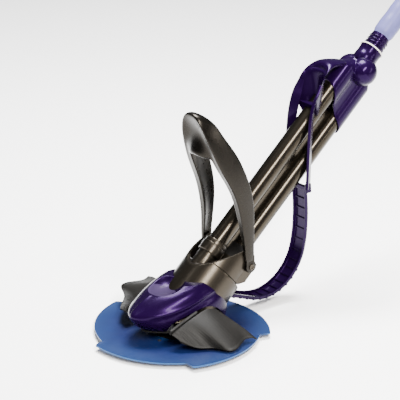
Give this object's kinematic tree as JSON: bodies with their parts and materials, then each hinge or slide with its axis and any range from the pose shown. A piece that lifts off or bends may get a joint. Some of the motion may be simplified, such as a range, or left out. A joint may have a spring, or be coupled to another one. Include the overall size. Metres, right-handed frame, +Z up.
{
  "type": "pool cleaner",
  "caption": "Suction-side automatic pool cleaner with a blue sealing disc, purple hood, twin tubes, carrying handle, side wings, safety strap and a swivelling hose connector",
  "frame": {"origin": "centre of the suction throat's mouth, on the floor that the foot pad rests on", "axes": "+Z up out of the floor; +Y from the nose back towards the rising tubes and the hose; +X to the cleaner's right when it is seen from behind with the nose away from the viewer"},
  "size_m": [0.4127, 1.1278, 0.8497],
  "materials": {
    "blue_rubber": "satin moulded blue rubber",
    "grey_rubber": "matt grey rubber",
    "black_rubber": "matt black rubber",
    "wing_rubber": "satin brown-black soft rubber",
    "purple_moulding": "high gloss deep purple moulding",
    "titanium_moulding": "metallic-look titanium brown moulding with a brushed sheen",
    "titanium_tube": "metallic-look dark titanium gloss extrusion",
    "dark_moulding": "matt dark grey moulding",
    "acetal_white": "cream smooth acetal",
    "clear_hose": "translucent violet-blue hose",
    "hose_cuff": "soft violet-blue cuff",
    "steel": "stainless steel",
    "ballast_iron": "coated cast iron",
    "foam": "closed-cell float foam"
  },
  "bodies": {
    "body": {"foot_pad": "grey_rubber", "throat_tube": "dark_moulding", "disc_retainer": "dark_moulding", "chassis": "dark_moulding", "chassis_screws": "steel", "front_hood": "purple_moulding", "hood_bosses": "purple_moulding", "hood_window": "purple_moulding", "ballast_weight": "ballast_iron", "lower_housing": "titanium_moulding", "rear_housing": "titanium_moulding", "intake_elbow": "dark_moulding", "cassette_body": "dark_moulding", "diaphragm": "black_rubber", "diaphragm_ring": "steel", "outlet_sleeve": "titanium_moulding", "cassette_latch": "titanium_moulding", "front_tube": "titanium_tube", "front_tube_seal": "black_rubber", "rear_tube": "titanium_tube", "tube_web": "titanium_tube", "rear_funnel": "dark_moulding", "bypass_seat": "dark_moulding", "bypass_pin": "steel", "top_shroud": "purple_moulding", "float_foam": "foam", "manifold": "purple_moulding", "neck_sleeve": "purple_moulding", "swivel_bearing": "acetal_white", "swivel_seal": "black_rubber", "retaining_ring": "acetal_white", "strap_hood": "purple_moulding", "strap_arm_right": "purple_moulding", "strap_arm_left": "purple_moulding", "strap_junction": "purple_moulding", "strap_band": "purple_moulding", "strap_clip": "dark_moulding", "wing_rail_right": "dark_moulding", "wing_rail_left": "dark_moulding", "handle_pins": "titanium_tube"},
    "disc": {"sealing_disc": "blue_rubber", "disc_fins": "blue_rubber", "disc_hub": "dark_moulding"},
    "collar": {"lock_collar": "titanium_moulding"},
    "flap": {"bypass_flap": "black_rubber"},
    "swivel": {"hose_connector": "purple_moulding", "hose": "clear_hose", "hose_far_cuff": "hose_cuff"},
    "handle": {"handle": "titanium_moulding"},
    "wing_right": {"wing_right": "wing_rubber"},
    "wing_left": {"wing_left": "wing_rubber"}
  },
  "joints": [
    {"name": "disc_turn", "type": "hinge", "parent": "body", "child": "disc", "pos_m": [0, 0, 0.0185], "axis": [0, 0, 1], "continuous": true},
    {"name": "collar_twist", "type": "hinge", "parent": "body", "child": "collar", "pos_m": [0, 0.10419, 0.18548], "axis": [0, 0.7576, 0.6528], "range_deg": [0, 40]},
    {"name": "flap_swing", "type": "hinge", "parent": "body", "child": "flap", "pos_m": [0, 0.15632, 0.16373], "axis": [1, 0, 0], "range_deg": [0, 55]},
    {"name": "hose_swivel", "type": "hinge", "parent": "body", "child": "swivel", "pos_m": [0, 0.60019, 0.56731], "axis": [0, 0.7576, 0.6528], "continuous": true},
    {"name": "handle_pivot", "type": "hinge", "parent": "body", "child": "handle", "pos_m": [0, 0.15, 0.149], "axis": [1, 0, 0], "range_deg": [-20, 60]},
    {"name": "wing_right_lift", "type": "hinge", "parent": "body", "child": "wing_right", "pos_m": [0.0865, -0.0535, 0.067], "axis": [-0.0126, -0.9448, -0.3275], "range_deg": [0, 25]},
    {"name": "wing_left_lift", "type": "hinge", "parent": "body", "child": "wing_left", "pos_m": [-0.0865, -0.0535, 0.067], "axis": [-0.0126, 0.9448, 0.3275], "range_deg": [-21, 0]}
  ]
}
